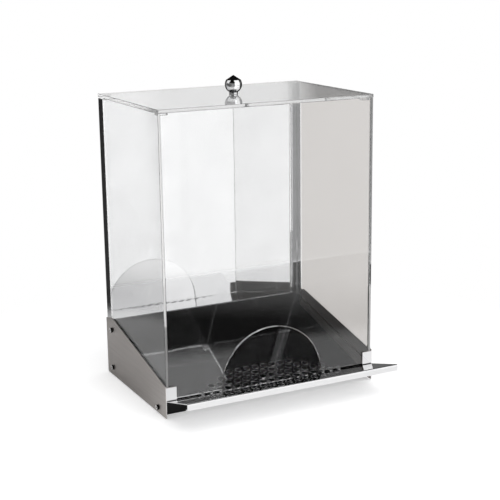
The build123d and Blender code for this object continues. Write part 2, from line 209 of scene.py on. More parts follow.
# %% World: white behind the bin, a studio in its reflections
CEILING_STOPS = [
    (-1.0, 0.90), (-0.5, 0.75), (-0.36, 0.04), (0.0, 0.02), (0.06, 0.20), (0.27, 0.20),
    (0.42, 0.003), (1.0, 0.006),
]                               # sine of the elevation, brightness there
CARDS = [
    ("all", 30, 7, 38, 23, 1.20),       # white card, right of the camera
    ("hood", 30, -37, 38, 24, 1.20),    # its lower half
    ("hood", 10, -14, 13, 44, 1.55),    # a brighter one beside it
    ("bare", 35, 46, 32, 17, 1.20),     # high card over the camera
    ("all", -32, -12, 22, 14, 0.35),    # grey card, left of the camera
    ("all", 176, 5, 25.4, 8, 0.76),     # low white card behind the bin
    ("all", 155, -7, 8, 6, 0.14),       # grey, for the tray's right end
    ("clear", 155, -7, 8, 6, 0.76),     # white, for the lid's front edge
    ("all", 180, -14, 13, 12, 0.50),    # light wall far behind
    ("all", 124, -8, 14, 14, 0.50),     # grey wall behind on the right
    ("all", -147, 0, 7, 9, 0.76),       # strip behind on the left, for the lid's edge
    ("all", -112, 34, 22, 20, 0.90),    # soft box, left
]       # who sees it, azimuth, elevation, half width, half height (degrees), brightness
CARD_BLUR = 0.03                # soft rim, as a share of its distance
AMBIENT = 0.42                  # light from all round on matt surfaces
THROUGH = 0.69                  # background as the acrylic shows it,
WARM = (1.0, 0.957, 0.925, 1)   # and its tint


def towards(azimuth, elevation):
    """Direction to a place in the room; azimuth 0 is ahead of the bin, 90 to its right."""
    a, e = radians(azimuth), radians(elevation)
    return Vector((sin(a) * cos(e), -cos(a) * cos(e), sin(e)))


def card(tree, direction, azimuth, elevation, half_width, half_height):
    """1 inside a rectangular card in the room and 0 outside it."""
    axes = (towards(azimuth, elevation), towards(azimuth + 90, 0),
            towards(azimuth, elevation + 90))
    ahead, across, above = (
        add(tree, "ShaderNodeVectorMath", {"operation": "DOT_PRODUCT"}, direction, axis)
        .outputs["Value"] for axis in axes
    )
    inside = calculate(tree, "GREATER_THAN", ahead, 0.0)
    for along, half_angle in ((across, half_width), (above, half_height)):
        offset = calculate(tree, "DIVIDE", along, ahead)
        reach = tan(radians(half_angle))
        edge = slide(
            tree, calculate(tree, "ABSOLUTE", offset, 0.0), reach + CARD_BLUR,
            reach - CARD_BLUR, kind="SMOOTHSTEP",
        )
        inside = calculate(tree, "MULTIPLY", inside, edge)
    return inside


world = bpy.data.worlds.new("photo_studio")
bpy.context.scene.world = world
world.use_nodes = True
world.cycles.sampling_method = "NONE"
sky = world.node_tree
sky.nodes.clear()
look = add(sky, "ShaderNodeTexCoord").outputs["Generated"]
height = add(sky, "ShaderNodeSeparateXYZ", Vector=look).outputs["Z"]
ceiling = add(sky, "ShaderNodeValToRGB", Fac=slide(sky, height, -1.0, 1.0))
stops = ceiling.color_ramp.elements
for rise, bright in CEILING_STOPS:
    ends = {-1.0: 0, 1.0: len(stops) - 1}
    stop = stops[ends[rise]] if rise in ends else stops.new((rise + 1) / 2)
    stop.color = (bright, bright, bright, 1)
room = ceiling.outputs["Color"]
path = add(sky, "ShaderNodeLightPath").outputs
sees = {
    "all": 1.0,
    "clear": path["Is Transmission Ray"],
    "bare": calculate(sky, "SUBTRACT", 1.0, path["Is Transmission Ray"]),
    "hood": calculate(sky, "GREATER_THAN", path["Transmission Depth"], 2.5),
}
for viewer, *where, bright in CARDS:
    lit = calculate(sky, "MULTIPLY", card(sky, look, *where), bright)
    room = calculate(sky, "MAXIMUM", room, calculate(sky, "MULTIPLY", lit, sees[viewer]))

reflected = calculate(sky, "MINIMUM", path["Glossy Depth"], 1.0)
clear = add(sky, "ShaderNodeMix", Factor=path["Is Transmission Ray"], A=1.0, B=THROUGH)
plain = add(
    sky, "ShaderNodeMix", Factor=path["Is Diffuse Ray"], A=clear.outputs["Result"], B=AMBIENT
)
seen = add(sky, "ShaderNodeMix", Factor=reflected, A=plain.outputs["Result"], B=room)
tint = add(
    sky, "ShaderNodeMixRGB", Color1=(1, 1, 1, 1), Color2=WARM,
    Fac=calculate(sky, "SUBTRACT", path["Is Transmission Ray"], reflected),
)
background = add(
    sky, "ShaderNodeBackground", Color=tint.outputs["Color"], Strength=seen.outputs["Result"]
)
add(sky, "ShaderNodeOutputWorld", Surface=background.outputs["Background"])
print("studio with", len(CARDS), "cards")

# %% [markdown]
# ## Table and lamp
#
# The table is a pale round top that fades out into the white around it, so it has no horizon.
# One sun lamp with a very wide angle is the simplest even soft light: it falls alike on the
# whole table and leaves a soft shadow under the tray. A ring of area lamps would do too, but
# each would show as a hot square in the steel. A little glow for direct looks brings the
# table's shade up to pure white and leaves the shadow in it. The steel sees that glow too, but
# only ahead of the bin, where it whitens the lip.
#
# In reflections the table is smaller: it ends a little ahead of the tray, so the front panel
# mirrors no white floor, and it lacks the corner that the tray's right end would mirror.

# %% Table and lamp
TABLE_R = 0.62
TABLE_FADE = 0.14
FRONT_EDGE, FRONT_FADE = -0.27, 0.09    # it ends here in reflections,
CORNER_X, CORNER_Y, CORNER_FADE = 0.20, -0.02, 0.06     # and lacks this corner
TABLE_Z = -0.0002
DIRECT_GLOW, STEEL_GLOW = 0.42, 0.33    # for a direct look, and in the steel,
GLOW_START, GLOW_FULL = 0.05, -0.15     # between these depths


def either(tree, factor, first, second):
    """The first shader where a factor is 0, and the second where it is 1."""
    return add(tree, "ShaderNodeMixShader", None, factor, first.outputs[0], second.outputs[0])


def table_finish():
    """Pale laminate that turns to nothing at its rim."""
    material, tree = new_finish("pale_table")
    tone = shades(tree, cloud(tree, 3.0), (0.89, 0.89, 0.895), (0.91, 0.91, 0.91))
    matt = add(tree, "ShaderNodeBsdfDiffuse", Color=tone)
    place = add(tree, "ShaderNodeTexCoord").outputs["Object"]
    aside, depth, _ = add(tree, "ShaderNodeSeparateXYZ", Vector=place).outputs
    path = add(tree, "ShaderNodeLightPath").outputs
    steel = calculate(
        tree, "MULTIPLY", path["Is Glossy Ray"], slide(tree, depth, GLOW_START, GLOW_FULL)
    )
    glow = add(tree, "ShaderNodeEmission", Strength=calculate(
        tree, "MAXIMUM", calculate(tree, "MULTIPLY", path["Is Camera Ray"], DIRECT_GLOW),
        calculate(tree, "MULTIPLY", steel, STEEL_GLOW),
    ))
    white = add(tree, "ShaderNodeAddShader", None, matt.outputs[0], glow.outputs[0])
    away = add(tree, "ShaderNodeVectorMath", {"operation": "LENGTH"}, place)
    rim = slide(
        tree, away.outputs["Value"], TABLE_R - TABLE_FADE, TABLE_R, kind="SMOOTHSTEP"
    )
    front = slide(tree, depth, FRONT_EDGE, FRONT_EDGE - FRONT_FADE, kind="SMOOTHSTEP")
    into_corner = calculate(
        tree, "MINIMUM", calculate(tree, "SUBTRACT", aside, CORNER_X),
        calculate(tree, "SUBTRACT", depth, CORNER_Y),
    )
    cut = calculate(tree, "MAXIMUM", front, slide(tree, into_corner, 0.0, CORNER_FADE))
    gone = calculate(
        tree, "MAXIMUM", rim, calculate(tree, "MULTIPLY", cut, path["Is Glossy Ray"])
    )
    nothing = add(tree, "ShaderNodeBsdfTransparent")
    show(tree, either(tree, gone, white, nothing))
    return material


shape = bmesh.new()
bmesh.ops.create_circle(shape, cap_ends=True, radius=TABLE_R, segments=96)
bmesh.ops.translate(shape, verts=shape.verts, vec=(0, 0, TABLE_Z))
table_mesh = bpy.data.meshes.new("table")
shape.to_mesh(table_mesh)
shape.free()
table_mesh.materials.append(table_finish())
table = new_object("table", table_mesh)

LAMP_FROM = Vector((0.25, -0.35, 1.0))  # above, a little ahead and to the right
lamp = bpy.data.lights.new("soft_light", "SUN")
lamp.energy = 1.6
lamp.angle = radians(70)
soft_light = new_object("soft_light", lamp)
soft_light.matrix_world = LAMP_FROM.to_track_quat("Z", "Y").to_matrix().to_4x4()
for ray in ("camera", "glossy", "transmission"):
    setattr(soft_light, "visible_" + ray, False)
print("table", 2 * TABLE_R, "m across")

# %% [markdown]
# ## Steel finishes
#
# All the steel here is the same metal in three polishes. A metal's colour goes in Base Color
# with Metallic at 1, and the polish is in its roughness and relief:
# - the chute, tray and back wall are mirror-polished, with a trace of haze and the slight
#   waviness that every rolled sheet keeps;
# - the side brackets are satin, ground along their length, so their noise is drawn out;
# - the hidden base, drawer and runners keep the dull grey of the rolling mill.
#
# The knob, its rings and its screw are chromed. A ball mirrors the whole room in the last
# millimetre of its silhouette, and melts into the white behind it unless that is dark. A studio
# hangs black cloth for it. Here the Facing output paints the knob's rim matt black instead: a
# painted reflection of that cloth.

# %% Steel finishes
# where the painted dark reflection on the knob's rim starts, and how soft it is
PAINTED_RIM_START, PAINTED_RIM_FADE = 0.45, 0.12      # on Facing, from 0 facing to 1 turned away


def polished_steel():
    """Mirror sheet: near white, faintly hazy, slightly wavy."""
    material, tree = new_finish("polished_steel")
    haze = cloud(tree, 14.0, detail=4.0)
    hairs = cloud(tree, 1.0, detail=3.0, stretch=(9, 420, 420))
    return coated(
        material, Metallic=1.0,
        Base_Color=shades(tree, haze, (0.77, 0.77, 0.775), (0.82, 0.82, 0.825)),
        Roughness=between(tree, hairs, 0.015, 0.05),
        Normal=relief(tree, cloud(tree, 9.0), 0.00012),
    )


def satin_steel():
    """Sheet ground with a fine belt: long hair lines front to back."""
    material, tree = new_finish("satin_steel")
    lines = cloud(tree, 1.0, detail=5.0, stretch=(300, 10, 900))
    patches = cloud(tree, 16.0, detail=3.0)
    return coated(
        material, Metallic=1.0, Anisotropic=0.4,
        Base_Color=shades(tree, lines, (0.46, 0.43, 0.41), (0.54, 0.507, 0.487)),
        Roughness=between(tree, patches, 0.30, 0.38),
        Normal=relief(tree, lines, 0.00002),
    )


def mill_steel():
    """Sheet as it leaves the rolling mill: grey, smooth and dull."""
    material, tree = new_finish("mill_steel")
    cloudy = cloud(tree, 30.0, detail=4.0)
    lines = cloud(tree, 1.0, detail=4.0, stretch=(260, 6, 260))
    return coated(
        material, Metallic=1.0,
        Base_Color=shades(tree, cloudy, (0.52, 0.52, 0.53), (0.62, 0.62, 0.63)),
        Roughness=between(tree, lines, 0.24, 0.36),
        Normal=relief(tree, lines, 0.00001),
    )


def bright_plating(name, painted_rim=None):
    """Chrome, sharper than the sheet; where a rim line is given, painted matt black past it, a
    painted dark reflection.
    """
    material, tree = new_finish(name)
    haze = cloud(tree, 90.0, detail=4.0)
    skin = add(
        tree, "ShaderNodeBsdfPrincipled", Metallic=1.0,
        Base_Color=shades(tree, haze, (0.80, 0.80, 0.81), (0.86, 0.86, 0.87)),
        Roughness=between(tree, haze, 0.03, 0.07),
    )
    if painted_rim is not None:
        # painted dark reflection: past the rim line the chrome gives way to matt black
        turned_away = add(tree, "ShaderNodeLayerWeight", Blend=0.5).outputs["Facing"]
        edge = slide(tree, turned_away, painted_rim, painted_rim + PAINTED_RIM_FADE)
        dark = add(
            tree, "ShaderNodeBsdfDiffuse",
            Color=shades(tree, haze, (0.006, 0.006, 0.006), (0.012, 0.011, 0.011)),
        )
        skin = either(tree, edge, skin, dark)
    show(tree, skin)
    return material


POLISHED, SATIN, MILL = polished_steel(), satin_steel(), mill_steel()
PLATED = bright_plating("bright_plating")
KNOB_PLATING_PAINTED_RIM = bright_plating("knob_plating", PAINTED_RIM_START)
print("steel finishes:", POLISHED.name, SATIN.name, MILL.name, PLATED.name)

# %% [markdown]
# ## Clear acrylic
#
# Acrylic bends light a little less than glass. The panels are closed solids with a real
# thickness, so refraction by itself gives the bright and dark lines at their edges. Two things
# are added: hair scratches in the roughness, from years of wiping, and shadow rays that pass
# straight through. Without that, the renderer would need caustics to light what stands behind
# the hood.
#
# One recipe serves every state of the sheet. The lid is scuffed by hands, and its sloping rims are
# left as ground and tinted grey-brown, a painted dark line along the lid's edges. The side panels'
# front edges are partly matt white, a painted light line for the light that runs along a clear
# panel to its edge: the left one all the way up, the right one only at its foot.

# %% Clear acrylic
ACRYLIC_IOR = 1.49
PAINTED_LIGHT_TOP, PAINTED_LIGHT_FADE = 155 * MM, 4 * MM       # top of the right edge's painted light line, and its soft end


def position(tree):
    """A point's x, y and z in the piece's own metres."""
    place = add(tree, "ShaderNodeTexCoord").outputs["Object"]
    return add(tree, "ShaderNodeSeparateXYZ", Vector=place).outputs


def clear_acrylic(name, tint, smoothest, roughest, through=1.0, worn_to=None):
    """Cast sheet with faint wiping marks, between two roughnesses; only partly clear below a
    height, a painted light line.
    """
    material, tree = new_finish(name)
    marks = cloud(tree, 1.0, detail=3.0, stretch=(60, 60, 700))
    if worn_to is not None:
        through = slide(
            tree, position(tree)["Z"], worn_to - PAINTED_LIGHT_FADE, worn_to + PAINTED_LIGHT_FADE, through, 1.0
        )
    body = add(
        tree, "ShaderNodeBsdfPrincipled", IOR=ACRYLIC_IOR, Transmission_Weight=through,
        Base_Color=shades(tree, cloud(tree, 6.0), [0.99 * c for c in tint], tint),
        Roughness=between(tree, marks, smoothest, roughest),
    )
    passing = add(tree, "ShaderNodeBsdfTransparent", Color=(0.94, 0.945, 0.945, 1))
    shadow = add(tree, "ShaderNodeLightPath").outputs["Is Shadow Ray"]
    show(tree, either(tree, shadow, body, passing))
    return material


ACRYLIC = clear_acrylic("clear_acrylic", (0.995, 0.997, 0.997), 0.0, 0.012)
SCUFFED = clear_acrylic("scuffed_acrylic", (0.995, 0.996, 0.996), 0.03, 0.06)
# grey-brown tint on the lid's ground rims: a painted dark line
GROUND_PAINTED_DARK = clear_acrylic("ground_edge", (0.52, 0.50, 0.49), 0.15, 0.25)
# part matt white front edges of the side panels: painted light lines
LEFT_EDGE_PAINTED_LIGHT = clear_acrylic("cemented_edge", (0.93, 0.925, 0.92), 0.05, 0.10, 0.6)
RIGHT_EDGE_PAINTED_LIGHT = clear_acrylic("worn_edge", (0.93, 0.925, 0.92), 0.0, 0.02, 0.3, PAINTED_LIGHT_TOP)
print("acrylic with an index of", ACRYLIC_IOR)

# %% [markdown]
# Light runs inside a clear panel as in a glass fibre, and leaves at the far edge. A path that
# is cut short there turns the edge black, so the renderer may make many more bounces than it
# starts with.

# %% Let light run along the panels
bounces = bpy.context.scene.cycles
bounces.max_bounces, bounces.glossy_bounces, bounces.transmission_bounces = 48, 32, 24
print("up to", bounces.max_bounces, "bounces")

# %% [markdown]
# ## Moulded plastic and rubber
#
# The drawer's front is black moulded plastic with the fine sparkle of an eroded mould, and the pads
# are soft black rubber. Both are nearly black, so what tells them apart is the sheen: plastic keeps
# a broad highlight, and rubber almost none. The front is also darker and less glossy than plastic
# is, as painted shade for the dark gap under the tray.

# %% Plastic and rubber


def moulded_black():
    """Black plastic with an eroded grain, darker and duller than plastic: partly painted shade
    under the tray.
    """
    material, tree = new_finish("moulded_black")
    grain = cloud(tree, 1400.0, detail=2.0)
    return coated(
        material, Specular_IOR_Level=0.15,
        Base_Color=shades(tree, cloud(tree, 40.0), (0.005, 0.005, 0.005), (0.008, 0.008, 0.008)),
        Roughness=between(tree, grain, 0.36, 0.48),
        Normal=relief(tree, grain, 0.00003),
    )


def soft_rubber():
    """Matt rubber with a dusty bloom."""
    material, tree = new_finish("soft_rubber")
    bloom = cloud(tree, 220.0, detail=4.0)
    return coated(
        material, Base_Color=shades(tree, bloom, (0.018, 0.018, 0.019), (0.040, 0.040, 0.041)),
        Roughness=between(tree, bloom, 0.72, 0.9),
        Normal=relief(tree, bloom, 0.00005),
    )


MOULDED_PAINTED_SHADE, RUBBER = moulded_black(), soft_rubber()
print("plastics:", MOULDED_PAINTED_SHADE.name, RUBBER.name)

# %% [markdown]
# ## Sheet pieces that stay as built
#
# The folded sheets already have their true shape, bends and holes, so they stay and only get
# their finish. A material goes into the slot of the piece's own mesh.

# %% Dress the sheets
SHEETS = {
    "chute_tray": POLISHED, "back_panel": POLISHED, "base_plate": MILL, "drawer_pan": MILL,
    "left_runner": MILL, "right_runner": MILL, "drawer_stop": MILL,
}
for name, finish in SHEETS.items():
    nodes[name].material_slots[0].material = finish
print(len(SHEETS), "sheets dressed")

# %% [markdown]
# ## Pieces with polished or broken edges
#
# Sawn acrylic has its edges broken and flame-polished, and a bracket's rim is deburred. At such
# an edge a narrow slope catches the light, and a perfectly sharp edge looks drawn. A Bevel
# modifier could cut it, but the frame's meshes are loose triangles. So a copy is welded, its
# flat faces are joined up, and only then its corners are cut. Edges flatter than a bend's step
# are shaded smooth, and the rest stay crisp.

# %% Copy a piece, break its edges and mount it
SEWN_WITHIN, FLAT_UNDER = 2e-6, radians(0.5)
SMOOTH_UNDER = radians(25)
CORNER_OVER = radians(30)


def welded(name):
    """A frame piece's mesh with its triangles sewn together and its flats joined."""
    shape = bmesh.new()
    shape.from_mesh(nodes[name].data)
    bmesh.ops.remove_doubles(shape, verts=shape.verts, dist=SEWN_WITHIN)
    bmesh.ops.dissolve_limit(
        shape, angle_limit=FLAT_UNDER, verts=shape.verts, edges=shape.edges
    )
    return shape


def as_mesh(shape, name):
    """A mesh from a bmesh, smooth over its flat angles and crisp over the rest."""
    mesh = bpy.data.meshes.new(name)
    shape.to_mesh(mesh)
    shape.free()
    if "custom_normal" in mesh.attributes:
        mesh.attributes.remove(mesh.attributes["custom_normal"])
    mesh.shade_smooth()
    mesh.set_sharp_from_angle(angle=SMOOTH_UNDER)
    return mesh


def mounted(mesh, name, body, node, instead=True):
    """Makes a mesh a named piece that rides on a body, instead of a frame node or beside it."""
    piece = new_object(name, mesh)
    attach(piece, body)
    if instead:
        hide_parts(node)
    return piece


def finished(shape, name, finish, body, node):
    """A mounted piece straight from a bmesh, in one finish."""
    mesh = as_mesh(shape, name)
    mesh.materials.clear()
    mesh.materials.append(finish)
    return mounted(mesh, name, body, node)


def mark_faces(piece, finish, wanted):
    """Gives a second finish to the faces of a piece that a test picks."""
    piece.data.materials.append(finish)
    for face in piece.data.polygons:
        if wanted(face):
            face.material_index = 1


def break_edges(shape, width, over=CORNER_OVER):
    """Cuts a narrow slope along every corner sharper than an angle."""
    corners = [e for e in shape.edges if e.is_manifold and e.calc_face_angle() > over]
    bmesh.ops.bevel(
        shape, geom=corners, offset=width, segments=1, affect="EDGES", clamp_overlap=True
    )


# %% [markdown]
# ## Brackets and the drawer's front
#
# The brackets carry the box. Their rims are deburred, and the tab folded in at the front of
# each is polished as bright as the tray, which a second finish on the tab's own faces gives.
# The drawer's front has the small round edges of its mould.

# %% Brackets and drawer front
DEBURRED, MOULDED_EDGE = 0.25 * MM, 0.2 * MM
TAB_FACING, TAB_DEEP = 0.9, 1 * MM      # how squarely its faces look ahead, and its reach back

tab_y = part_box("left_bracket")[0].y
for side in ("left", "right"):
    bent = welded(side + "_bracket")
    break_edges(bent, DEBURRED)
    bracket = finished(bent, side + "_side_bracket", SATIN, "frame", side + "_bracket")
    mark_faces(
        bracket, POLISHED,
        lambda face: face.normal.y < -TAB_FACING and face.center.y < tab_y + TAB_DEEP,
    )

front = welded("drawer_fascia")
break_edges(front, MOULDED_EDGE)
finished(front, "drawer_front_strip", MOULDED_PAINTED_SHADE, "drawer", "drawer_fascia")
print("brackets and drawer front have broken edges")

# %% [markdown]
# ## The hood's three panels
#
# The hood is glued from three sheets: the front stands between the two sides. Where two clear
# faces lie in the same place, a ray can't tell which it met first, and the seam turns to
# noise. The real joint holds a film of cement, so the front's two glued edges are drawn back
# by that film, and the seam shows as the thin grey line that glued acrylic has.

# %% Hood panels
EDGE_POLISH = 0.35 * MM
CEMENT = 0.04 * MM
TOUCHING = 1e-5
EDGE_FACING = 0.95              # how squarely a front edge looks ahead
# the side panels' front edges carry painted light lines
FRONT_EDGES = {"left": LEFT_EDGE_PAINTED_LIGHT, "right": RIGHT_EDGE_PAINTED_LIGHT}

for side in ("front", "left", "right"):
    name = "hood_" + side
    panel = welded(name)
    low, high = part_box(name)
    if side == "front":
        for corner in panel.verts:
            if high.x - abs(corner.co.x) < TOUCHING:
                corner.co.x -= CEMENT if corner.co.x > 0 else -CEMENT
    break_edges(panel, EDGE_POLISH)
    panel = finished(panel, name + "_panel", ACRYLIC, "hood", name)
    if side in FRONT_EDGES:
        mark_faces(panel, FRONT_EDGES[side], lambda face: face.normal.y < -EDGE_FACING)
print("hood panels", round((high.y - low.y) / MM), "mm deep")

# %% [markdown]
# ## The lid and its corner blocks
#
# The lid's rim slopes already, so only its square corners are broken, and the slopes take the
# ground finish, whose grey-brown tint is a painted dark line. The four blocks are cemented under
# it, so their glued faces are drawn back by the same film.

# %% Lid and corner blocks
SQUARE_OVER = radians(60)               # the lid's slopes meet its faces at less, and stay
SLOPE_LEAST, SLOPE_MOST = 0.3, 0.95     # upward part of a slope's normal

for name, label in (("lid_plate", "clear_lid"), ("lid_locators", "lid_corner_blocks")):
    plate = welded(name)
    low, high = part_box(name)
    if name == "lid_locators":
        for corner in plate.verts:
            corner.co.z -= CEMENT if high.z - corner.co.z < TOUCHING else 0
    break_edges(plate, EDGE_POLISH, over=SQUARE_OVER)
    plate = finished(plate, label, SCUFFED, "lid", name)
    mark_faces(plate, GROUND_PAINTED_DARK, lambda face: SLOPE_LEAST < abs(face.normal.z) < SLOPE_MOST)
print("corner blocks", round((high.z - low.z) / MM, 1), "mm high")

# %% [markdown]
# ## Turned pieces
#
# The knob, its collar and washer, and every screw are turned on a lathe. In code a lathe is a
# list of rings, each with a radius and a height, joined by faces. A ring may also be a hexagon,
# which makes a socket or a nut from the same routine: each of its points goes out to the flat
# it belongs to. A ring of no radius is a single point and closes an end.

# %% A lathe that also cuts hexagons
LATHE_STEPS = 48


def ring_radius(radius, corners, angle):
    """Distance from the axis to a circle, or to the flat of a polygon of that half width."""
    if not corners:
        return radius
    slice_angle = 2 * pi / corners
    return radius / cos((angle % slice_angle) - slice_angle / 2)


def turned(rings, steps=LATHE_STEPS):
    """Closed solid through rings of (radius, height) or (radius, height, corners)."""
    shape = bmesh.new()
    loops = []
    for radius, height, *polygon in rings:
        if radius == 0:
            loops.append([shape.verts.new((0, 0, height))])
            continue
        loop = []
        for step in range(steps):
            angle = 2 * pi * step / steps
            reach = ring_radius(radius, polygon[0] if polygon else 0, angle)
            loop.append(shape.verts.new((reach * cos(angle), reach * sin(angle), height)))
        loops.append(loop)
    closing = [(loops[-1], loops[0])] if len(loops[0]) > 1 else []
    for lower, upper in [*zip(loops, loops[1:]), *closing]:
        for step in range(steps):
            after = (step + 1) % steps
            if len(lower) == 1:
                shape.faces.new((lower[0], upper[step], upper[after]))
            elif len(upper) == 1:
                shape.faces.new((lower[step], lower[after], upper[0]))
            else:
                shape.faces.new((lower[step], lower[after], upper[after], upper[step]))
    bmesh.ops.recalc_face_normals(shape, faces=shape.faces)
    return shape


def arc(centre, radius, start, end, points):
    """Points of a profile arc, from one angle in degrees to another."""
    turns = [radians(start + (end - start) * i / (points - 1)) for i in range(points)]
    return [(centre[0] + radius * cos(a), centre[1] + radius * sin(a)) for a in turns]


# %% [markdown]
# ## The knob
#
# The knob is a ball drawn up to a low cone with a soft point. Its profile is two arcs and a
# straight: the ball, the cone's side, and a tiny arc at the tip. Its height and width come from
# the frame's own knob. Chrome shows every facet, so this lathe takes more steps.

# %% Knob, collar and washer
BALL_FOOT, BALL_CROWN = -60, 32         # degrees of the ball, from its belly
BALL_STEPS, TIP_STEPS, KNOB_STEPS = 40, 5, 128
TIP_R = 0.7 * MM
NECK_FOOT_R, NECK_R, NECK_SLOPE_H = 5.6 * MM, 6.0 * MM, 0.3 * MM
KNOB_BORE_R = 2.75 * MM
RING_ROUND = 0.8 * MM

lid_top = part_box("lid_plate")[1].z
knob_low, knob_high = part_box("knob")
axis_y = (knob_low.y + knob_high.y) / 2
ball_r = (knob_high.x - knob_low.x) / 2
belly = lid_top + (knob_high.z - lid_top) / 2
ball = arc((0, belly), ball_r, BALL_FOOT, BALL_CROWN, BALL_STEPS)
slope = (knob_high.z - ball[-1][1]) / ball[-1][0]
shares = [1 - i / TIP_STEPS for i in range(TIP_STEPS + 1)]
tip = [(TIP_R * share, knob_high.z - slope * TIP_R * share**2) for share in shares]
neck = [(0, knob_low.z), (NECK_FOOT_R, knob_low.z), (NECK_R, knob_low.z + NECK_SLOPE_H)]
knob_shape = turned(neck + ball + tip, steps=KNOB_STEPS)
bmesh.ops.translate(knob_shape, verts=knob_shape.verts, vec=(0, axis_y, 0))
finished(knob_shape, "turned_knob", KNOB_PLATING_PAINTED_RIM, "lid", "knob")

for name, label in (("knob_collar", "knob_neck_ring"), ("knob_washer", "lid_washer")):
    low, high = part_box(name)
    rim = min(RING_ROUND, (high.z - low.z) / 2)
    rim_r = (high.x - low.x) / 2 - rim
    ring = turned([
        (KNOB_BORE_R, low.z), (rim_r, low.z), *arc((rim_r, low.z + rim), rim, -90, 0, 5),
        *arc((rim_r, high.z - rim), rim, 0, 90, 5), (KNOB_BORE_R, high.z),
    ], steps=2 * LATHE_STEPS)
    bmesh.ops.remove_doubles(ring, verts=ring.verts, dist=1e-6)
    bmesh.ops.translate(ring, verts=ring.verts, vec=(0, axis_y, 0))
    finished(ring, label, KNOB_PLATING_PAINTED_RIM, "lid", name)
print("knob", round(2 * ball_r / MM, 1), "mm across")

# %% [markdown]
# ## Geometry Nodes trees
#
# Fasteners repeat, and a thread follows a path, so Geometry Nodes make both. A tree is like a
# small machine with named inputs. A modifier runs it on a mesh, each input is set through its
# socket's identifier, and the result is taken out as a plain mesh. The machine is then
# unplugged, so nothing in the finished file still depends on it.

# %% Build and run a tree


def new_tree(name, **inputs):
    """A Geometry Nodes tree with named inputs, each given with its kind of socket."""
    tree = bpy.data.node_groups.new(name, "GeometryNodeTree")
    for way in ("OUTPUT", "INPUT"):
        tree.interface.new_socket("Geometry", in_out=way, socket_type="NodeSocketGeometry")
    for label, kind in inputs.items():
        tree.interface.new_socket(
            label.replace("_", " "), in_out="INPUT", socket_type="NodeSocket" + kind
        )
    return tree, add(tree, "NodeGroupInput").outputs


def end_tree(tree, geometry, finish):
    """Makes every copy real, gives it its finish and sends it out."""
    real = add(tree, "GeometryNodeRealizeInstances", Geometry=geometry).outputs[0]
    dressed = add(tree, "GeometryNodeSetMaterial", Geometry=real, Material=finish).outputs[0]
    add(tree, "NodeGroupOutput", Geometry=dressed)
    return tree


def grown(mesh, tree, **values):
    """Runs a tree on a mesh and returns the result as a plain mesh."""
    holder = new_object(mesh.name, mesh)
    modifier = holder.modifiers.new(tree.name, "NODES")
    modifier.node_group = tree
    for socket in tree.interface.items_tree:
        label = socket.name.replace(" ", "_")
        if socket.in_out == "INPUT" and label in values:
            modifier[socket.identifier] = values[label]
    view = bpy.context.evaluated_depsgraph_get()
    result = bpy.data.meshes.new_from_object(holder.evaluated_get(view), depsgraph=view)
    holder.modifiers.remove(modifier)
    bpy.data.objects.remove(holder)
    return result


# %% [markdown]
# ## Two trees: copies on seats, and a wound thread
#
# Instance on Points could turn its copies by a normal, but a bare point has none, so each seat
# carries its axis as an attribute. A random spin leaves the sockets as an assembler does. The
# thread is a small triangle swept along a spiral curve, cheaper than a carved one.

# %% Seats and thread
THREAD_STEPS = 20               # straight steps in one turn of a thread


def seat_tree():
    """Stands a copy of a fastener on every seat, turned its own way round its axis."""
    tree, given = new_tree(
        "seat_fasteners", Fastener="Object", Size="Float", Loose_turn="Float", Seed="Int",
        Finish="Material",
    )
    shape = add(tree, "GeometryNodeObjectInfo", Object=given["Fastener"]).outputs["Geometry"]
    axis = add(tree, "GeometryNodeInputNamedAttribute", {"data_type": "FLOAT_VECTOR"}, Name="axis")
    upright = add(
        tree, "FunctionNodeAlignRotationToVector", {"axis": "Z"}, Vector=axis.outputs["Attribute"]
    )
    chance = add(
        tree, "FunctionNodeRandomValue", {"data_type": "FLOAT"},
        Min=0.0, Max=given["Loose turn"], Seed=given["Seed"],
    )
    spin = add(tree, "FunctionNodeAxisAngleToRotation", Axis=(0, 0, 1), Angle=chance.outputs[1])
    turn = add(
        tree, "FunctionNodeRotateRotation", {"rotation_space": "LOCAL"},
        Rotation=upright.outputs[0], Rotate_By=spin.outputs[0],
    )
    copies = add(
        tree, "GeometryNodeInstanceOnPoints", Points=given["Geometry"], Instance=shape,
        Rotation=turn.outputs[0], Scale=given["Size"],
    )
    return end_tree(tree, copies.outputs[0], given["Finish"])


def thread_tree():
    """Winds the ridge of a screw thread down a shank, faded out at both ends."""
    tree, given = new_tree(
        "wind_thread", Root_radius="Float", Ridge="Float", Pitch="Float", Length="Float",
        Finish="Material",
    )
    turns = calculate(tree, "DIVIDE", given["Length"], given["Pitch"])
    helix = add(
        tree, "GeometryNodeCurveSpiral", Resolution=THREAD_STEPS, Rotations=turns,
        Start_Radius=given["Root radius"], End_Radius=given["Root radius"],
        Height=given["Length"],
    )
    level = add(tree, "GeometryNodeSetCurveNormal", {"mode": "Z_UP"}, Curve=helix.outputs[0])
    along = add(tree, "GeometryNodeSplineParameter").outputs["Factor"]
    from_end = calculate(tree, "PINGPONG", along, 0.5)
    fade = calculate(tree, "MINIMUM", calculate(tree, "MULTIPLY", from_end, turns), 1.0)
    ridge = add(tree, "GeometryNodeCurvePrimitiveCircle", Resolution=3, Radius=given["Ridge"])
    wound = add(
        tree, "GeometryNodeCurveToMesh", Curve=level.outputs[0], Profile_Curve=ridge.outputs[0],
        Scale=fade, Fill_Caps=True,
    )
    down = add(tree, "ShaderNodeCombineXYZ", Z=calculate(tree, "MULTIPLY", given["Length"], -1.0))
    lowered = add(
        tree, "GeometryNodeTransform", Geometry=wound.outputs[0], Translation=down.outputs[0]
    )
    both = tree.nodes.new("GeometryNodeJoinGeometry")
    for part in (lowered.outputs[0], given["Geometry"]):
        tree.links.new(part, both.inputs[0])
    return end_tree(tree, both.outputs[0], given["Finish"])


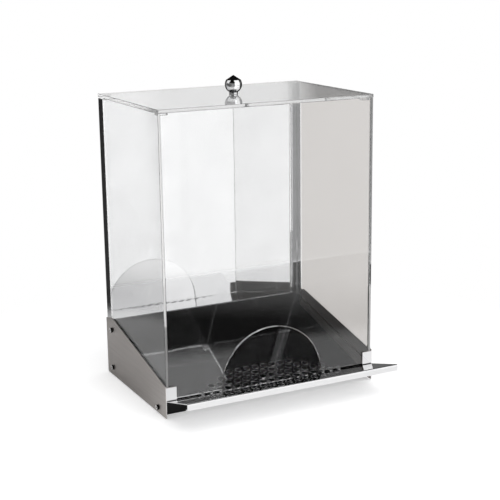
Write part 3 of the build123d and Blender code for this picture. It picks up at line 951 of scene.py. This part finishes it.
SEATS, THREAD = seat_tree(), thread_tree()
print("trees:", SEATS.name, THREAD.name)

# %% [markdown]
# ## Where the fasteners sit
#
# The frame keeps all screws of one kind in one piece. Its triangles fall apart into one island
# for each screw, and the box round an island gives the screw's place and size. A seat is a bare
# vertex there.

# %% Find the seats and place copies


def islands(items, neighbours):
    """Groups of items that hang together, by a function that gives an item's neighbours."""
    waiting, groups = set(items), []
    while waiting:
        group = [waiting.pop()]
        for item in group:
            for near in neighbours(item) & waiting:
                waiting.remove(near)
                group.append(near)
        groups.append(group)
    return groups


def solids(name):
    """Boxes round the separate solids of a frame piece, in a steady order."""
    shape = welded(name)
    boxes = []
    for island in islands(shape.verts, lambda v: {e.other_vert(v) for e in v.link_edges}):
        sides = [[vert.co[axis] for vert in island] for axis in range(3)]
        boxes.append((Vector(map(min, sides)), Vector(map(max, sides))))
    shape.free()
    return sorted(boxes, key=lambda box: tuple(box[0]))


def placed(fastener, seats, finish, loose_turn=0.0):
    """Copies of a fastener's mesh on seats, each a place and an axis, as one mesh."""
    points = bpy.data.meshes.new("seats")
    points.from_pydata([place for place, axis in seats], [], [])
    axes = points.attributes.new("axis", "FLOAT_VECTOR", "POINT")
    for cell, (place, axis) in zip(axes.data, seats):
        cell.vector = axis
    pattern = new_object(fastener.name, fastener)
    mesh = grown(
        points, SEATS, Fastener=pattern, Size=1.0, Loose_turn=loose_turn, Seed=7, Finish=finish
    )
    bpy.data.objects.remove(pattern)
    return mesh


def outward(box):
    """Seat of a fastener that goes through a side wall: its outer end and its axis."""
    low, high = box
    middle = (low + high) / 2
    side = 1 if middle.x > 0 else -1
    return Vector((high.x if side > 0 else low.x, middle.y, middle.z)), Vector((side, 0, 0))


screw_boxes, nut_boxes = solids("bracket_screws"), solids("bracket_nuts")
print(len(screw_boxes), "screws and", len(nut_boxes), "nuts")

# %% [markdown]
# ## Black screws with a painted highlight
#
# The brackets' screws are drawn black, with their outermost faces bright steel: a painted highlight
# on those faces, and painted dark reflection on the sides. So the finish has to know how far out
# the screws reach.

# %% Black steel with a painted highlight
HIGHLIGHT_FROM, HIGHLIGHT_FULL = 0.35 * MM, 0.05 * MM     # depths below the outermost face


def blackened_steel(face_x):
    """Black steel, bright on its outermost face: a painted highlight there and painted shade on the
    rest.
    """
    material, tree = new_finish("blackened_steel")
    across = calculate(tree, "ABSOLUTE", position(tree)["X"], 0.0)
    # painted highlight: the outermost face turns bright steel, the rest stays black
    painted_highlight = slide(tree, across, face_x - HIGHLIGHT_FROM, face_x - HIGHLIGHT_FULL)
    haze = cloud(tree, 160.0, detail=4.0)
    colour = add(
        tree, "ShaderNodeMixRGB", Fac=painted_highlight, Color2=(0.80, 0.79, 0.78, 1),
        Color1=shades(tree, haze, (0.02, 0.019, 0.018), (0.045, 0.043, 0.041)),
    ).outputs["Color"]
    return coated(
        material, Metallic=1.0, Base_Color=colour, Roughness=between(tree, haze, 0.18, 0.30)
    )


BLACK_PAINTED_HIGHLIGHT = blackened_steel(screw_boxes[-1][1].x)
print("screws reach", round(screw_boxes[-1][1].x / MM, 1), "mm from the middle")

# %% [markdown]
# ## Socket screws and nuts
#
# Each bracket hangs on three socket screws. A screw's head has a small round-over, its hexagon
# socket ends in the cone of the drill, and its shank carries a rolled thread. The nut on the
# inside has its corners chamfered at both faces, as a pressed nut has.

# %% Screws and nuts
HEAD_H = 3.1 * MM               # of the screw's length
HEAD_ROUND = 0.6 * MM
HEAD_EDGE = 0.1 * MM            # broken edge under the head
SOCKET_HALF = 1.25 * MM
SOCKET_DEPTH = 1.9 * MM
LIP_W, LIP_DEEP = 0.15 * MM, 0.12 * MM  # chamfer round the socket
SCREW_PITCH = 0.7 * MM
THREAD_DEPTH = 0.3 * MM
SHANK_R = 1.95 * MM


def socket_head(radius, height, rounding, half_width, depth):
    """Rings of a screw head from its underside to the foot of its hexagon socket."""
    corner = half_width / cos(pi / 6)
    return [
        (radius - HEAD_EDGE, 0), (radius, HEAD_EDGE),
        *arc((radius - rounding, height - rounding), rounding, 0, 90, 6),
        (corner + LIP_W, height), (half_width, height - LIP_DEEP, 6),
        (half_width, height - depth, 6), (0, height - depth - half_width / 2),
    ]


def threaded(name, head, shank_r, length, pitch, ridge, finish):
    """A screw: a head on a shank of root size, with a thread wound on it."""
    root = shank_r - ridge
    end = [(0, -length), (root - ridge, -length), (root, ridge - length), (root, 0)]
    blank = as_mesh(turned(end + head), name)
    return grown(
        blank, THREAD, Root_radius=root + ridge / 3, Ridge=ridge * 2 / 3, Pitch=pitch,
        Length=length - pitch, Finish=finish,
    )


low, high = screw_boxes[0]
radius, length = (high.z - low.z) / 2, high.x - low.x - HEAD_H
head = socket_head(radius, HEAD_H, HEAD_ROUND, SOCKET_HALF, SOCKET_DEPTH)
screw = threaded("socket_screw", head, SHANK_R, length, SCREW_PITCH, THREAD_DEPTH, PLATED)
seats = [(place - HEAD_H * axis, axis) for place, axis in map(outward, screw_boxes)]
mesh = placed(screw, seats, BLACK_PAINTED_HIGHLIGHT, loose_turn=2 * pi)
mounted(mesh, "bracket_socket_screws", "frame", "bracket_screws")

NUT_BORE_R = 2.0 * MM
CHAMFER = 0.35 * MM
ROUND_FACE = 0.95               # radius of a nut's face, as a share of its half width
low, high = nut_boxes[0]
half_width, thick = (high.y - low.y) / 2, high.x - low.x
nut = as_mesh(turned([
    (NUT_BORE_R, -thick), (half_width * ROUND_FACE, -thick), (half_width, CHAMFER - thick, 6),
    (half_width, -CHAMFER, 6), (half_width * ROUND_FACE, 0), (NUT_BORE_R, 0),
]), "hexagon_nut")
seats = [outward(box) for box in nut_boxes]
mesh = placed(nut, seats, MILL, loose_turn=2 * pi)
mounted(mesh, "bracket_hexagon_nuts", "frame", "bracket_nuts")
print("screw", round(2 * radius / MM, 1), "mm head, nut", round(2 * half_width / MM, 1), "mm")

# %% [markdown]
# ## Rims of the crumb holes
#
# A punch rolls a small shining rim round each hole, and the eye finds the rims first in the
# dark chute. The holes are in the sheet already. The faces that stand square to the chute are
# their walls, and each island of them is one hole, so the rims' seats are read from the sheet
# and stay true when its pattern changes.

# %% Find the holes and set a rim on each
RIM_IN, RIM_OUT, RIM_H = 0.05 * MM, 0.55 * MM, 0.15 * MM
SQUARE = 0.02                   # how far from square to the chute a hole's wall may be
WALL_AREA = 2 * MM * MM         # its faces are smaller than this
SIDEWAYS = 0.999                # and turn less to the side than the sheet's own edges
WALL_FACES = 12                 # a hole has more of them than this
CHUTE_LEAST, CHUTE_MOST = 0.5, 0.99     # upward part of the chute's normal


def hole_walls(shape, upward):
    """Islands of the narrow faces that stand square to the chute, one for each hole."""
    walls = {
        face for face in shape.faces
        if abs(face.normal.dot(upward)) < SQUARE and len(face.verts) == 4
        and face.calc_area() < WALL_AREA and abs(face.normal.x) < SIDEWAYS
    }
    rings = islands(walls, lambda face: {n for e in face.edges for n in e.link_faces})
    return [{v for face in ring for v in face.verts} for ring in rings if len(ring) > WALL_FACES]


sheet = welded("chute_tray")
chute = max(
    (face for face in sheet.faces if CHUTE_LEAST < face.normal.z < CHUTE_MOST),
    key=lambda face: face.calc_area(),
)
upward = chute.normal.copy()
rims = []
for hole in hole_walls(sheet, upward):
    middle = sum((vert.co for vert in hole), Vector()) / len(hole)
    top = max(vert.co.dot(upward) for vert in hole)
    rims.append((middle + (top - middle.dot(upward)) * upward, upward))
    hole_r = max((vert.co - middle).cross(upward).length for vert in hole)
sheet.free()
rims.sort(key=lambda seat: tuple(seat[0]))
print(len(rims), "holes of", round(2 * hole_r / MM, 1), "mm")

rim = as_mesh(turned([
    (hole_r - RIM_IN, -RIM_H), (hole_r, RIM_H), (hole_r + RIM_OUT / 3, 1.5 * RIM_H),
    (hole_r + RIM_OUT * 2 / 3, RIM_H), (hole_r + RIM_OUT, -RIM_H),
], steps=LATHE_STEPS // 2), "punched_rim")
mounted(placed(rim, rims, PLATED), "crumb_hole_rims", "frame", "chute_tray", instead=False)

# %% [markdown]
# ## Rivets, pads and the knob's screw
#
# Two rivets clamp the drawer's front to its pan, with a low dome on each side. The pads are
# pressed rubber discs with a shallow ring under them, which grips the counter. The knob's screw
# comes up through the lid, and its thread can be seen inside the clear plate.

# %% Rivets, pads and knob screw
RIVET_SHANK_R = 2.0 * MM
RIVET_DOME = 0.9 * MM
DOME_STEPS = 6


def dome(radius, base, height):
    """Rings of a low dome from its rim to its top; a negative height points down."""
    curve = (radius**2 + height**2) / (2 * abs(height))
    rings = []
    for step in range(DOME_STEPS + 1):
        reach = radius * cos(pi / 2 * step / DOME_STEPS) if step < DOME_STEPS else 0
        rise = sqrt(curve**2 - reach**2) - (curve - abs(height))
        rings.append((reach, base + (rise if height > 0 else -rise)))
    return rings


rivet_boxes, pad_boxes = solids("fascia_rivets"), solids("feet")
low, high = rivet_boxes[0]
head_r = (high.z - low.z) / 2
grip = high.y - low.y - 2 * RIVET_DOME
back_head = dome(head_r, -grip, -RIVET_DOME)[::-1]
front_head = dome(head_r, 0, RIVET_DOME)
rivet = as_mesh(
    turned(back_head + [(RIVET_SHANK_R, -grip), (RIVET_SHANK_R, 0)] + front_head), "dome_rivet"
)
seats = [
    (Vector(((a.x + b.x) / 2, a.y + RIVET_DOME, (a.z + b.z) / 2)), Vector((0, -1, 0)))
    for a, b in rivet_boxes
]
mounted(placed(rivet, seats, MILL), "drawer_rivets", "drawer", "fascia_rivets")

GRIP_IN, GRIP_W, GRIP_DEEP = 2.6 * MM, 1.6 * MM, 0.5 * MM
GRIP_SLOPE = 0.2                # share of the ring's width
PAD_ROUND, PAD_TAPER = 0.5 * MM, 0.15 * MM
low, high = pad_boxes[0]
pad_r, pad_h = (high.x - low.x) / 2, high.z - low.z
grip_r = pad_r - GRIP_IN
pad = as_mesh(turned([
    (0, 0), (grip_r - GRIP_W, 0), (grip_r - GRIP_W * (1 - GRIP_SLOPE), GRIP_DEEP),
    (grip_r - GRIP_W * GRIP_SLOPE, GRIP_DEEP), (grip_r, 0),
    *arc((pad_r - PAD_ROUND, PAD_ROUND), PAD_ROUND, -90, 0, 6),
    (pad_r - PAD_TAPER, pad_h), (0, pad_h),
]), "rubber_pad")
seats = [
    (Vector(((a.x + b.x) / 2, (a.y + b.y) / 2, a.z)), Vector((0, 0, 1))) for a, b in pad_boxes
]
mounted(placed(pad, seats, RUBBER), "rubber_pads", "frame", "feet")

KNOB_HEAD_H = 2.8 * MM
KNOB_SHANK_R = 2.45 * MM
KNOB_SOCKET_HALF, KNOB_SOCKET_DEPTH = 1.5 * MM, 1.6 * MM
KNOB_PITCH, KNOB_THREAD_DEPTH = 0.8 * MM, 0.4 * MM
low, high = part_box("knob_screw")
head = socket_head(
    (high.x - low.x) / 2, KNOB_HEAD_H, HEAD_ROUND, KNOB_SOCKET_HALF, KNOB_SOCKET_DEPTH
)
knob_screw = threaded(
    "knob_screw", head, KNOB_SHANK_R, high.z - low.z - KNOB_HEAD_H, KNOB_PITCH,
    KNOB_THREAD_DEPTH, PLATED,
)
seat = Vector((0, axis_y, low.z + KNOB_HEAD_H)), Vector((0, 0, -1))
mounted(placed(knob_screw, [seat], PLATED), "knob_fixing_screw", "lid", "knob_screw")
print("rivets, pads and knob screw in place")
